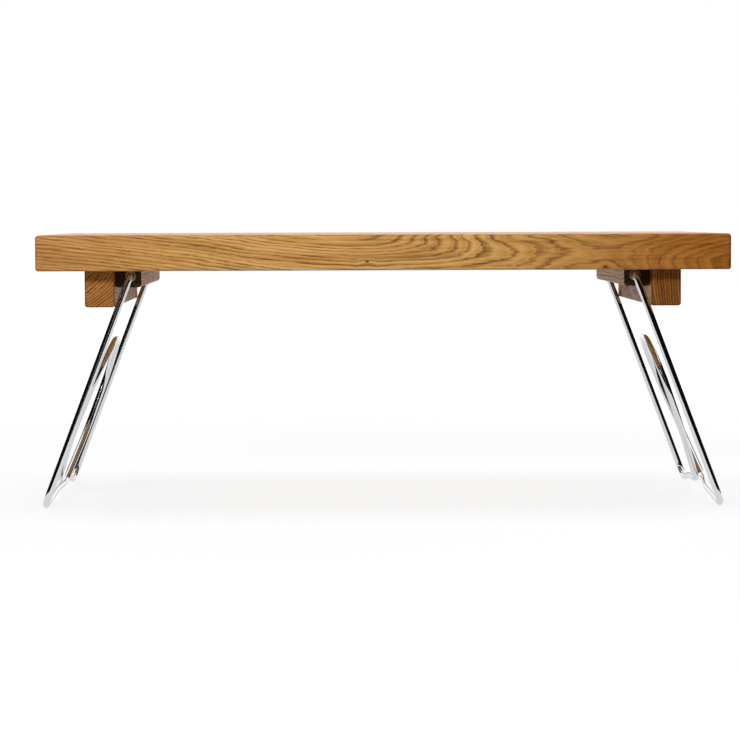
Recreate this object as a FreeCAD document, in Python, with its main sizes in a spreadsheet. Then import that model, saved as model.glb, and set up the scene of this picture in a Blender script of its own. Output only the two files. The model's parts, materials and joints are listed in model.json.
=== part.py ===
import FreeCAD, Part
import math
import os

import Sketcher

# Folding bed tray table, in millimetres.
# A solid oak slab top stands on two folding legs of bent steel wire. Under each end
# of the top two battens run from front to back: the tall outer stop batten, which
# the open leg leans on, and the low inner axle batten, whose ends hold the pivots.
#
# Frame: the origin is on the floor below the middle of the top. +X runs along the
# top to the right, +Y runs from the front to the back and +Z points up.
# The legs are modelled open, leaning on their stop battens.

# Driving dimensions: name, value, what it is.
SIZES = (
    ("table_height", 240.0, "floor to upper face of the top"),
    ("top_length", 600.0, "length of the top, end to end"),
    ("top_thickness", 31.0, "thickness of the top"),
    ("stave_width", 60.0, "width of one glued stave"),
    ("top_corner_radius", 3.0, "rounding of the four upright corners"),
    ("top_edge_radius", 3.0, "rounding of the upper edges"),
    ("under_edge_radius", 2.0, "rounding of the lower edges"),
    ("stop_inset", 40.0, "end of the top to the outer face of the stop batten"),
    ("stop_width", 26.0, "width of the stop batten"),
    ("stop_height", 32.0, "height of the stop batten"),
    ("stop_overhang", 6.0, "stop batten past the middle of the leg's upright"),
    ("stop_nose_radius", 2.0, "rounding of the corner that the leg leans on"),
    ("stop_outer_radius", 2.6, "rounding of the outer lower corner"),
    ("stop_clearance", 0.3, "gap left between open leg and stop batten"),
    ("axle_width", 22.5, "width of the axle batten"),
    ("axle_height", 15.0, "height of the axle batten"),
    ("axle_length", 274.0, "length of the axle batten"),
    ("axle_edge_radius", 3.0, "rounding of its two lower edges"),
    ("batten_arris_radius", 0.7, "easing of the edges round each batten end"),
    ("pivot_gap", 13.1, "pivot axis to the inner face of the stop batten"),
    ("rod_diameter", 6.0, "diameter of the leg wire"),
    ("pin_length", 14.0, "straight end of the wire inside the ferrule"),
    ("pin_clearance", 0.08, "radial clearance between wire and ferrule"),
    ("side_play", 0.5, "ferrule face to the start of the top bend"),
    ("top_bend_radius", 5.5, "bend at the top of each upright"),
    ("foot_bend_radius", 14.0, "bend at each foot"),
    ("foot_rise_angle", 6.5, "slope of the foot bar, degrees"),
    ("knee_reach", 60.0, "middle of the leg to the bend in the foot bar"),
    ("knee_bend_radius", 50.0, "bend in the foot bar"),
    ("joggle_reach", 16.0, "middle of the leg to the end of the sideways step"),
    ("joggle_bend_radius", 50.0, "bend at the end of the sideways step"),
    ("crossing_rise", 10.8, "crossing above the foot line"),
    ("crossing_reach", 1.5, "middle of the leg to the bend at the crossing"),
    ("crossing_bend_radius", 18.0, "bend from foot bar to hoop strand"),
    ("crossing_gap", 0.6, "gap between the two strands where they cross"),
    ("strand_rise", 60.0, "bend in the hoop strand above the foot line"),
    ("strand_reach", 42.0, "middle of the leg to the bend in the strand"),
    ("strand_bend_radius", 80.0, "bend in the hoop strand"),
    ("hoop_rise", 150.0, "top of the hoop above the foot line"),
    ("hoop_reach", 59.5, "middle of the leg to the corner of the hoop"),
    ("hoop_bend_radius", 45.0, "round of the hoop"),
    ("folded_clearance", 0.6, "folded leg to the underside of the top"),
    ("sleeve_length", 16.0, "length of the ferrule behind its flange"),
    ("sleeve_wall", 0.7, "wall of the ferrule's sleeve"),
    ("sleeve_clearance", 0.05, "radial clearance between ferrule and batten"),
    ("flange_diameter", 9.8, "diameter of the ferrule's flange"),
    ("flange_thickness", 1.0, "thickness of the ferrule's flange"),
    ("flange_edge_radius", 0.3, "rounding of the flange's outer edge"),
    ("flange_clearance", 0.1, "flange to the underside of the top"),
    ("bore_end_gap", 2.0, "bore past the end of the ferrule"),
    ("screw_diameter", 4.0, "shank of the batten screws"),
    ("head_diameter", 8.0, "head of the batten screws"),
    ("head_rim", 0.4, "straight rim of the screw head"),
    ("tip_length", 4.0, "point of the batten screws"),
    ("recess_depth", 1.6, "depth of the cross recess"),
    ("recess_reach", 2.2, "middle of the head to the end of a recess arm"),
    ("recess_width", 1.1, "width of a recess arm"),
    ("screw_clearance", 0.05, "radial clearance round the screws"),
    ("pilot_end_gap", 1.0, "pilot hole past the screw's point"),
    ("stop_screw_length", 45.0, "screws of the stop battens"),
    ("stop_screw_depth", 8.0, "depth of their heads below the batten's face"),
    ("stop_screw_spacing", 88.0, "spacing of the stop batten's screws"),
    ("axle_screw_length", 28.0, "screws of the axle battens"),
    ("axle_screw_depth", 0.5, "depth of their heads below the batten's face"),
    ("axle_screw_spacing", 66.0, "spacing of the axle batten's screws"),
)

STAVE_COUNT = 6
SCREW_COUNT = 4

# Slack when comparing places, and the smallest volume that counts as a cut.
TOLERANCE = 1e-4
SMALLEST_CUT = 1e-6

# The wire's gap to itself is measured between points this far apart along it, and
# not between points nearer to each other than this length of wire.
MEASURE_STEP = 1.0
NEIGHBOUR_LENGTH = 60.0

doc = FreeCAD.newDocument("bed_tray_table")


def fill_sheet():
    """Put every driving dimension in the sheet under its own alias."""
    sheet = doc.addObject("Spreadsheet::Sheet", "Sizes")
    for row, (alias, value, note) in enumerate(SIZES, start=1):
        sheet.set(f"A{row}", alias)
        sheet.set(f"B{row}", str(value))
        sheet.set(f"C{row}", note)
        sheet.setAlias(f"B{row}", alias)
    doc.recompute()
    return sheet


sizes = fill_sheet()

# Worked-out places, as expressions on the sheet.
TOP_DEPTH = f"({STAVE_COUNT} * Sizes.stave_width)"
UNDERSIDE = "(Sizes.table_height - Sizes.top_thickness)"
STOP_INNER = "(Sizes.top_length / 2 - Sizes.stop_inset - Sizes.stop_width)"
STOP_MIDDLE = f"({STOP_INNER} + Sizes.stop_width / 2)"
AXLE_MIDDLE = f"({STOP_INNER} - Sizes.axle_width / 2)"
PIVOT_X = f"({STOP_INNER} - Sizes.pivot_gap)"
PIVOT_DROP = "(Sizes.flange_diameter / 2 + Sizes.flange_clearance)"
PIVOT_Z = f"({UNDERSIDE} - {PIVOT_DROP})"
FLANGE_FACE = "(Sizes.axle_length / 2 + Sizes.flange_thickness)"
UPRIGHT_REACH = f"({FLANGE_FACE} + Sizes.side_play + Sizes.top_bend_radius)"
STOP_LENGTH = f"(2 * ({UPRIGHT_REACH} + Sizes.stop_overhang))"
FERRULE_BORE = "(Sizes.rod_diameter / 2 + Sizes.pin_clearance)"
SLEEVE_RADIUS = f"({FERRULE_BORE} + Sizes.sleeve_wall)"
FERRULE_LENGTH = "(Sizes.flange_thickness + Sizes.sleeve_length)"
SCREW_RADIUS = "(Sizes.screw_diameter / 2)"
HEAD_RADIUS = "(Sizes.head_diameter / 2)"
SCREW_HOLE = f"({SCREW_RADIUS} + Sizes.screw_clearance)"
HEAD_HOLE = f"({HEAD_RADIUS} + Sizes.screw_clearance)"

# The open leg leans on the rounded nose of the stop batten. Seen along the pivot
# axis, the middle of that rounding is NOSE_OUT from the axis and NOSE_DOWN below it.
NOSE_OUT = "(Sizes.pivot_gap + Sizes.stop_nose_radius)"
NOSE_DOWN = f"(Sizes.stop_height - {PIVOT_DROP} - Sizes.stop_nose_radius)"
NOSE_REACH = "(Sizes.rod_diameter / 2 + Sizes.stop_nose_radius + Sizes.stop_clearance)"
OPEN_ANGLE = (
    f"(acos({NOSE_REACH} / sqrt({NOSE_OUT} ^ 2 + {NOSE_DOWN} ^ 2))"
    f" - atan2({NOSE_DOWN}; {NOSE_OUT}))"
)

# The two wires cross one behind the other. Folding turns the leg's inner side up, so
# the inner wire steps only as far as the underside of the top allows, and the outer
# wire passes on the far side of it.
INNER_SET = f"(Sizes.folded_clearance + Sizes.rod_diameter / 2 - {PIVOT_DROP})"
OUTER_SET = f"({INNER_SET} + Sizes.rod_diameter + Sizes.crossing_gap)"

RIGHT_TURN = 0
LEFT_TURN = 180


def value_of(expression):
    """Number that an expression on the sheet gives now."""
    result = sizes.evalExpression(expression)
    return float(getattr(result, "Value", result))


def new_body(label):
    """Empty body under its own label."""
    body = doc.addObject("PartDesign::Body", label)
    body.Label = label
    return body


def origin_feature(body, role):
    """Plane or axis of the body's own origin."""
    for feature in body.Origin.OriginFeatures:
        if feature.Role == role:
            return feature
    raise ValueError(role)


def new_sketch(body, name, role, lift=None):
    """Sketch on a plane of the body's origin, lifted off it along the plane's normal."""
    sketch = body.newObject("Sketcher::SketchObject", name)
    sketch.AttachmentSupport = (origin_feature(body, role), [""])
    sketch.MapMode = "FlatFace"
    if lift is not None:
        sketch.setExpression("AttachmentOffset.Base.z", lift)
    return sketch


def bind_point(sketch, geometry, point, name, across, up):
    """Hold one point of a sketch at two expressions from the sketch's origin."""
    for kind, word, expression in (("DistanceX", "across", across), ("DistanceY", "up", up)):
        rule = Sketcher.Constraint(kind, -1, 1, geometry, point, value_of(expression))
        index = sketch.addConstraint(rule)
        sketch.renameConstraint(index, f"{name}_{word}")
        sketch.setExpression(f"Constraints.{name}_{word}", expression)


def draw_outline(sketch, corners):
    """Closed outline of straight lines; each corner is two expressions."""
    places = [FreeCAD.Vector(value_of(across), value_of(up), 0) for across, up in corners]
    count = len(places)
    first = sketch.GeometryCount
    for step in range(count):
        sketch.addGeometry(Part.LineSegment(places[step], places[(step + 1) % count]))
    for step in range(count):
        following = first + (step + 1) % count
        sketch.addConstraint(Sketcher.Constraint("Coincident", first + step, 2, following, 1))
    for step, (across, up) in enumerate(corners):
        bind_point(sketch, first + step, 1, f"corner_{step + 1}", across, up)


def draw_rectangle(sketch, low_across, low_up, high_across, high_up):
    """Upright rectangle between two opposite corners."""
    draw_outline(sketch, (
        (low_across, low_up),
        (high_across, low_up),
        (high_across, high_up),
        (low_across, high_up),
    ))


def draw_circle(sketch, name, across, up, radius):
    """Circle with its middle and radius held by expressions."""
    middle = FreeCAD.Vector(value_of(across), value_of(up), 0)
    circle = Part.Circle(middle, FreeCAD.Vector(0, 0, 1), value_of(radius))
    geometry = sketch.addGeometry(circle)
    bind_point(sketch, geometry, 3, name, across, up)
    index = sketch.addConstraint(Sketcher.Constraint("Radius", geometry, value_of(radius)))
    sketch.renameConstraint(index, f"{name}_radius")
    sketch.setExpression(f"Constraints.{name}_radius", radius)


def pad_both_ways(body, sketch, name, length):
    """Pad of the full length, half to each side of the sketch."""
    pad = body.newObject("PartDesign::Pad", name)
    pad.Profile = sketch
    pad.SideType = "Symmetric"
    pad.setExpression("Length", length)
    doc.recompute()
    return pad


def round_edges(body, name, picks, radius):
    """Fillet on those edges of the body so far that the test picks."""
    base = body.Tip
    edges = base.Shape.Edges
    names = [f"Edge{index + 1}" for index, edge in enumerate(edges) if picks(edge)]
    fillet = body.newObject("PartDesign::Fillet", name)
    fillet.Base = (base, names)
    fillet.setExpression("Radius", radius)
    doc.recompute()
    return fillet


def cut_pocket(body, sketch, name, depth, backwards=False):
    """Pocket that must take material away."""
    before = body.Tip.Shape.Volume
    pocket = body.newObject("PartDesign::Pocket", name)
    pocket.Profile = sketch
    pocket.Reversed = backwards
    pocket.setExpression("Length", depth)
    doc.recompute()
    check_cut(pocket, before)
    return pocket


def cut_groove(body, sketch, name):
    """Full turn round the sketch's upright axis that must take material away."""
    before = body.Tip.Shape.Volume
    groove = body.newObject("PartDesign::Groove", name)
    groove.Profile = sketch
    groove.ReferenceAxis = (sketch, ["V_Axis"])
    groove.Angle = 360
    doc.recompute()
    check_cut(groove, before)
    return groove


def check_cut(feature, before):
    """Stop if a cut left the volume as it was."""
    if feature.Shape.Volume > before - SMALLEST_CUT:
        raise RuntimeError(f"{feature.Label} cuts nothing")


def turn_solid(body, sketch, name, axis):
    """Full turn of the sketch round one of its own axes."""
    revolution = body.newObject("PartDesign::Revolution", name)
    revolution.Profile = sketch
    revolution.ReferenceAxis = (sketch, [axis])
    revolution.Angle = 360
    doc.recompute()
    return revolution


def repeat_along_y(body, name, originals, spacing):
    """Copies of the features at an even spacing towards the back, one per screw."""
    pattern = body.newObject("PartDesign::LinearPattern", name)
    pattern.Originals = originals
    pattern.Direction = (origin_feature(body, "Y_Axis"), [""])
    pattern.Mode = "Spacing"
    pattern.setExpression("Offset", spacing)
    pattern.Occurrences = SCREW_COUNT
    body.Tip = pattern
    doc.recompute()
    return pattern


def mirror_front_to_back(body, name, originals):
    """Copies of the features on the other side of the body's XZ plane."""
    mirrored = body.newObject("PartDesign::Mirrored", name)
    mirrored.Originals = originals
    mirrored.MirrorPlane = (origin_feature(body, "XZ_Plane"), [""])
    body.Tip = mirrored
    doc.recompute()
    return mirrored


def place(item, across, back, up, turn=0, pitch="0"):
    """Placement from expressions; turn is about +Z and pitch then about the item's Y."""
    item.setExpression(
        "Placement",
        f"create(<<placement>>; create(<<vector>>; {across}; {back}; {up});"
        f" create(<<rotation>>; {turn}; {pitch}; 0))",
    )


def first_screw(spacing):
    """Place of the front screw of a row that is centred on the batten."""
    return f"(({SCREW_COUNT} - 1) / 2 * {spacing})"


def along(edge, axis):
    """Whether an edge is straight and runs along a unit vector."""
    if not isinstance(edge.Curve, Part.Line):
        return False
    return abs(edge.tangentAt(edge.FirstParameter).dot(axis)) > 0.999


def at_height(edge, height):
    """Whether an edge lies wholly at one height."""
    box = edge.BoundBox
    return abs(box.ZMin - height) < TOLERANCE and abs(box.ZMax - height) < TOLERANCE


def at_either_end(edge, reach):
    """Whether an edge lies wholly in one of the two end faces of a batten."""
    box = edge.BoundBox
    flat = abs(box.YMax - box.YMin) < TOLERANCE
    return flat and abs(abs(box.YMax) - reach) < TOLERANCE


AXIS_X = FreeCAD.Vector(1, 0, 0)
AXIS_Y = FreeCAD.Vector(0, 1, 0)
AXIS_Z = FreeCAD.Vector(0, 0, 1)


def make_slab():
    """The glued slab: rounded all round, with pilot holes for the batten screws."""
    body = new_body("glued_slab")
    outline = new_sketch(body, "slab_outline", "XY_Plane")
    half_length = "Sizes.top_length / 2"
    half_depth = f"{TOP_DEPTH} / 2"
    draw_rectangle(outline, f"-{half_length}", f"-{half_depth}", half_length, half_depth)
    pad = body.newObject("PartDesign::Pad", "slab_pad")
    pad.Profile = outline
    pad.setExpression("Length", "Sizes.top_thickness")
    doc.recompute()
    round_edges(body, "slab_corners", lambda edge: along(edge, AXIS_Z), "Sizes.top_corner_radius")
    thickness = value_of("Sizes.top_thickness")
    round_edges(
        body,
        "slab_upper_edges",
        lambda edge: at_height(edge, thickness),
        "Sizes.top_edge_radius",
    )
    round_edges(body, "slab_lower_edges", lambda edge: at_height(edge, 0), "Sizes.under_edge_radius")
    rows = (
        ("stop", STOP_MIDDLE, "Sizes.stop_height"),
        ("axle", AXLE_MIDDLE, "Sizes.axle_height"),
    )
    for kind, middle, batten_height in rows:
        spacing = f"Sizes.{kind}_screw_spacing"
        front = f"-{first_screw(spacing)}"
        holes = new_sketch(body, f"{kind}_pilots", "XY_Plane")
        draw_circle(holes, "left", f"-{middle}", front, SCREW_HOLE)
        draw_circle(holes, "right", middle, front, SCREW_HOLE)
        depth = (
            f"Sizes.{kind}_screw_length + Sizes.{kind}_screw_depth"
            f" - {batten_height} + Sizes.pilot_end_gap"
        )
        pocket = cut_pocket(body, holes, f"{kind}_pilot_front", depth, backwards=True)
        repeat_along_y(body, f"{kind}_pilot_row", [pocket], spacing)
    place(body, "0", "0", UNDERSIDE)
    return body


def make_staves(slab):
    """Each stave is the part of the slab inside its own width, front to back."""
    staves = []
    for index in range(STAVE_COUNT):
        zone = doc.addObject("Part::Box", f"stave_zone_{index + 1}")
        zone.setExpression("Length", "Sizes.top_length")
        zone.setExpression("Width", "Sizes.stave_width")
        zone.setExpression("Height", "Sizes.top_thickness")
        place(
            zone,
            "-Sizes.top_length / 2",
            f"{index} * Sizes.stave_width - {TOP_DEPTH} / 2",
            UNDERSIDE,
        )
        stave = doc.addObject("Part::Common", f"top_stave_{index + 1}")
        stave.Label = f"top_stave_{index + 1}"
        stave.Base = slab
        stave.Tool = zone
        staves.append(stave)
    doc.recompute()
    return staves


def cut_screw_seats(body, kind):
    """Countersunk clearance holes from below, one row along the batten's middle.

    The outline runs up one side of a hole: counterbore, cone under the head, shank.
    """
    height = f"Sizes.{kind}_height"
    depth = f"Sizes.{kind}_screw_depth"
    rim = f"-{height} + {depth} + Sizes.head_rim"
    spacing = f"Sizes.{kind}_screw_spacing"
    profile = new_sketch(body, "seat_profile", "XZ_Plane", first_screw(spacing))
    draw_outline(profile, (
        ("0", f"-{height} - 1"),
        (HEAD_HOLE, f"-{height} - 1"),
        (HEAD_HOLE, rim),
        (SCREW_HOLE, f"{rim} + {HEAD_HOLE} - {SCREW_HOLE}"),
        (SCREW_HOLE, "1"),
        ("0", "1"),
    ))
    seat = cut_groove(body, profile, "front_screw_seat")
    repeat_along_y(body, "screw_seats", [seat], spacing)


def make_stop_batten(label, side, turn):
    """Tall outer batten; its own +X faces the end of the top, its top face is at 0."""
    body = new_body(label)
    section = new_sketch(body, "section", "XZ_Plane")
    half = "Sizes.stop_width / 2"
    draw_rectangle(section, f"-{half}", "-Sizes.stop_height", half, "0")
    pad_both_ways(body, section, "bar", STOP_LENGTH)
    height = value_of("Sizes.stop_height")

    def lower_edge(edge, sign):
        middle = edge.CenterOfMass
        return along(edge, AXIS_Y) and at_height(edge, -height) and middle.x * sign > 0

    round_edges(body, "leg_nose", lambda edge: lower_edge(edge, -1), "Sizes.stop_nose_radius")
    round_edges(body, "outer_round", lambda edge: lower_edge(edge, 1), "Sizes.stop_outer_radius")
    reach = value_of(STOP_LENGTH) / 2
    round_edges(
        body,
        "end_arrises",
        lambda edge: at_either_end(edge, reach) and not at_height(edge, 0),
        "Sizes.batten_arris_radius",
    )
    cut_screw_seats(body, "stop")
    place(body, f"{side} * {STOP_MIDDLE}", "0", UNDERSIDE, turn)
    return body


def make_axle_batten(label, side, turn):
    """Low inner batten with a blind bore for a ferrule in each end."""
    body = new_body(label)
    section = new_sketch(body, "section", "XZ_Plane")
    half = "Sizes.axle_width / 2"
    draw_rectangle(section, f"-{half}", "-Sizes.axle_height", half, "0")
    pad_both_ways(body, section, "bar", "Sizes.axle_length")
    height = value_of("Sizes.axle_height")
    round_edges(
        body,
        "lower_rounds",
        lambda edge: along(edge, AXIS_Y) and at_height(edge, -height),
        "Sizes.axle_edge_radius",
    )
    reach = value_of("Sizes.axle_length") / 2
    round_edges(
        body,
        "end_arrises",
        lambda edge: at_either_end(edge, reach) and not at_height(edge, 0),
        "Sizes.batten_arris_radius",
    )
    mouth = new_sketch(body, "bore_mouth", "XZ_Plane", "Sizes.axle_length / 2")
    bore_x = "Sizes.axle_width / 2 - Sizes.pivot_gap"
    draw_circle(mouth, "bore", bore_x, f"-{PIVOT_DROP}", f"{SLEEVE_RADIUS} + Sizes.sleeve_clearance")
    bore = cut_pocket(body, mouth, "front_bore", "Sizes.sleeve_length + Sizes.bore_end_gap")
    mirror_front_to_back(body, "both_bores", [bore])
    cut_screw_seats(body, "axle")
    place(body, f"{side} * {AXLE_MIDDLE}", "0", UNDERSIDE, turn)
    return body


def make_ferrule(label, side, turn):
    """Flanged steel sleeve round the wire's end; its flange's outer face is at 0."""
    body = new_body(label)
    profile = new_sketch(body, "wall_profile", "YZ_Plane")
    draw_outline(profile, (
        ("0", FERRULE_BORE),
        ("0", "Sizes.flange_diameter / 2"),
        ("Sizes.flange_thickness", "Sizes.flange_diameter / 2"),
        ("Sizes.flange_thickness", SLEEVE_RADIUS),
        (FERRULE_LENGTH, SLEEVE_RADIUS),
        (FERRULE_LENGTH, FERRULE_BORE),
    ))
    turn_solid(body, profile, "turned_sleeve", "H_Axis")
    flange_radius = value_of("Sizes.flange_diameter / 2")

    def rim_edge(edge):
        box = edge.BoundBox
        return abs(box.YMax) < TOLERANCE and abs(box.ZMax - flange_radius) < TOLERANCE

    round_edges(body, "flange_round", rim_edge, "Sizes.flange_edge_radius")
    end = "-1" if turn == 0 else "1"
    place(body, f"{side} * {PIVOT_X}", f"{end} * {FLANGE_FACE}", PIVOT_Z, turn)
    return body


def make_screws(label, kind, side, middle):
    """One row of countersunk screws, heads down; the heads' flat faces are at 0."""
    body = new_body(label)
    length = f"Sizes.{kind}_screw_length"
    spacing = f"Sizes.{kind}_screw_spacing"
    front = first_screw(spacing)
    profile = new_sketch(body, "screw_profile", "XZ_Plane", front)
    draw_outline(profile, (
        ("0", "0"),
        (HEAD_RADIUS, "0"),
        (HEAD_RADIUS, "Sizes.head_rim"),
        (SCREW_RADIUS, f"Sizes.head_rim + {HEAD_RADIUS} - {SCREW_RADIUS}"),
        (SCREW_RADIUS, f"{length} - Sizes.tip_length"),
        ("0", length),
    ))
    shank = turn_solid(body, profile, "turned_screw", "V_Axis")
    cross = new_sketch(body, "cross_recess", "XY_Plane")
    reach = "Sizes.recess_reach"
    half = "(Sizes.recess_width / 2)"
    draw_outline(cross, (
        (half, f"{half} - {front}"),
        (half, f"{reach} - {front}"),
        (f"-{half}", f"{reach} - {front}"),
        (f"-{half}", f"{half} - {front}"),
        (f"-{reach}", f"{half} - {front}"),
        (f"-{reach}", f"-{half} - {front}"),
        (f"-{half}", f"-{half} - {front}"),
        (f"-{half}", f"-{reach} - {front}"),
        (half, f"-{reach} - {front}"),
        (half, f"-{half} - {front}"),
        (reach, f"-{half} - {front}"),
        (reach, f"{half} - {front}"),
    ))
    recess = cut_pocket(body, cross, "recess", "Sizes.recess_depth", backwards=True)
    repeat_along_y(body, "screw_row", [shank, recess], spacing)
    height = f"({UNDERSIDE} - Sizes.{kind}_height + Sizes.{kind}_screw_depth)"
    place(body, f"{side} * {middle}", "0", height)
    return body


def bent_route(corners):
    """Straight runs joined by tangent arcs; each corner is a point and a bend radius."""
    edges = []
    start = corners[0][0]
    for index in range(1, len(corners) - 1):
        point, radius = corners[index]
        towards = (point - corners[index - 1][0]).normalize()
        away = (corners[index + 1][0] - point).normalize()
        half_turn = towards.getAngle(away) / 2
        setback = radius * math.tan(half_turn)
        arc_start = point - towards * setback
        arc_end = point + away * setback
        inwards = (away - towards).normalize()
        arc_middle = point + inwards * (radius / math.cos(half_turn) - radius)
        edges.append(Part.LineSegment(start, arc_start).toShape())
        edges.append(Part.Arc(arc_start, arc_middle, arc_end).toShape())
        start = arc_end
    edges.append(Part.LineSegment(start, corners[-1][0]).toShape())
    return Part.Wire(edges)


def half_leg(side, sideways):
    """Corners of the wire from one pin to the far corner of the hoop.

    The leg hangs straight down from the pivot axis, which is its own Y axis, and +X
    is the outer side of its plane. side is -1 or 1 for the foot that the half starts
    with, and sideways is how far the wire steps out of the plane at the crossing.
    """
    upright = value_of(UPRIGHT_REACH)
    pin_end = upright - value_of("Sizes.top_bend_radius + Sizes.side_play + Sizes.pin_length")
    rise = math.radians(value_of("Sizes.foot_rise_angle"))
    foot_bend = value_of("Sizes.foot_bend_radius")
    foot_line = value_of(f"({PIVOT_Z} - Sizes.rod_diameter / 2) / cos({OPEN_ANGLE})")
    foot_corner = foot_line + foot_bend * (math.tan(math.pi / 4 + rise / 2) - 1)
    knee = value_of("Sizes.knee_reach")
    joggle = value_of("Sizes.joggle_reach")
    crossing = value_of("Sizes.crossing_reach")
    knee_depth = foot_corner - (upright - knee) * math.tan(rise)
    crossing_depth = foot_line - value_of("Sizes.crossing_rise")
    inner_slope = (crossing_depth - knee_depth) / (knee + crossing)
    joggle_depth = knee_depth + inner_slope * (knee - joggle)
    strand_depth = foot_line - value_of("Sizes.strand_rise")
    hoop_depth = foot_line - value_of("Sizes.hoop_rise")

    def corner(out, along_axis, depth, bend):
        return FreeCAD.Vector(out, side * along_axis, -depth), value_of(bend)

    return [
        corner(0, pin_end, 0, "0"),
        corner(0, upright, 0, "Sizes.top_bend_radius"),
        corner(0, upright, foot_corner, "Sizes.foot_bend_radius"),
        corner(0, knee, knee_depth, "Sizes.knee_bend_radius"),
        corner(sideways, joggle, joggle_depth, "Sizes.joggle_bend_radius"),
        corner(sideways, -crossing, crossing_depth, "Sizes.crossing_bend_radius"),
        corner(sideways, -value_of("Sizes.strand_reach"), strand_depth, "Sizes.strand_bend_radius"),
        corner(0, -value_of("Sizes.hoop_reach"), hoop_depth, "Sizes.hoop_bend_radius"),
    ]


def make_leg_route():
    """Middle line of the leg wire, from the front pin round the hoop to the rear pin."""
    route = doc.addObject("Part::Feature", "leg_route")
    outer_half = half_leg(-1, value_of(OUTER_SET))
    inner_half = half_leg(1, value_of(INNER_SET))
    route.Shape = bent_route(outer_half + inner_half[::-1])
    return route


def make_rod_section(route):
    """Round section of the wire, square to the start of its middle line."""
    section = doc.addObject("Part::Circle", "rod_section")
    section.setExpression("Radius", "Sizes.rod_diameter / 2")
    turned = FreeCAD.Rotation(AXIS_X, 90)
    section.Placement = FreeCAD.Placement(route.Shape.Edges[0].Vertexes[0].Point, turned)
    return section


def make_leg(label, route, section, side, turn):
    """One leg: the wire swept along the route, hung on its pivot and swung open."""
    leg = doc.addObject("Part::Sweep", label)
    leg.Label = label
    leg.Sections = [section]
    leg.Spine = (route, [f"Edge{index + 1}" for index in range(len(route.Shape.Edges))])
    leg.Solid = True
    leg.Frenet = False
    place(leg, f"{side} * {PIVOT_X}", "0", PIVOT_Z, turn, f"-{OPEN_ANGLE}")
    return leg


def report_wire(route, leg):
    """Print the wire's volume against section times length, and its least gap."""
    length = route.Shape.Length
    area = math.pi * value_of("Sizes.rod_diameter / 2") ** 2
    print("wire length", round(length, 2), "volume ratio", round(leg.Shape.Volume / area / length, 5))
    points = route.Shape.discretize(Distance=MEASURE_STEP)
    skip = int(NEIGHBOUR_LENGTH / MEASURE_STEP)
    gaps = []
    for index, point in enumerate(points):
        gaps.extend(point.distanceToPoint(other) for other in points[index + skip:])
    print("least gap in the wire", round(min(gaps) - value_of("Sizes.rod_diameter"), 3))


def check_document(parts):
    """Stop if any object failed or any sub-part has no sound shape."""
    for item in doc.Objects:
        if "Invalid" in item.State or "Error" in item.State:
            raise RuntimeError(f"{item.Label} is {item.State}")
    for item in parts:
        if item.Shape.isNull() or not item.Shape.isValid():
            raise RuntimeError(f"{item.Label} has no sound shape")


def build():
    """Every sub-part of the table."""
    parts = make_staves(make_slab())
    route = make_leg_route()
    section = make_rod_section(route)
    for name, side, turn in (("left", "-1", LEFT_TURN), ("right", "1", RIGHT_TURN)):
        parts.append(make_stop_batten(f"{name}_stop_batten", side, turn))
        parts.append(make_axle_batten(f"{name}_axle_batten", side, turn))
        parts.append(make_leg(f"{name}_leg_wire", route, section, side, turn))
        parts.append(make_ferrule(f"{name}_front_ferrule", side, 0))
        parts.append(make_ferrule(f"{name}_rear_ferrule", side, 180))
        parts.append(make_screws(f"{name}_stop_batten_screws", "stop", side, STOP_MIDDLE))
        parts.append(make_screws(f"{name}_axle_batten_screws", "axle", side, AXLE_MIDDLE))
    doc.recompute()
    check_document(parts)
    report_wire(route, next(item for item in parts if item.Label == "right_leg_wire"))
    return parts


def write_parts(parts):
    """One STEP file for each sub-part, named after its label."""
    os.makedirs("parts", exist_ok=True)
    for item in parts:
        item.Shape.exportStep(f"parts/{item.Label}.step")
        box = item.Shape.BoundBox
        print(f"{item.Label:28s} solids {len(item.Shape.Solids)} volume {item.Shape.Volume:10.1f}"
              f" x {box.XMin:.2f} {box.XMax:.2f} y {box.YMin:.2f} {box.YMax:.2f}"
              f" z {box.ZMin:.3f} {box.ZMax:.3f}")


write_parts(build())
print("open angle", round(value_of(OPEN_ANGLE), 4), "pivot", value_of(PIVOT_X), value_of(PIVOT_Z))
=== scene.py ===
import json
import math

import bpy
from mathutils import Euler, Matrix, Vector


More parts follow.
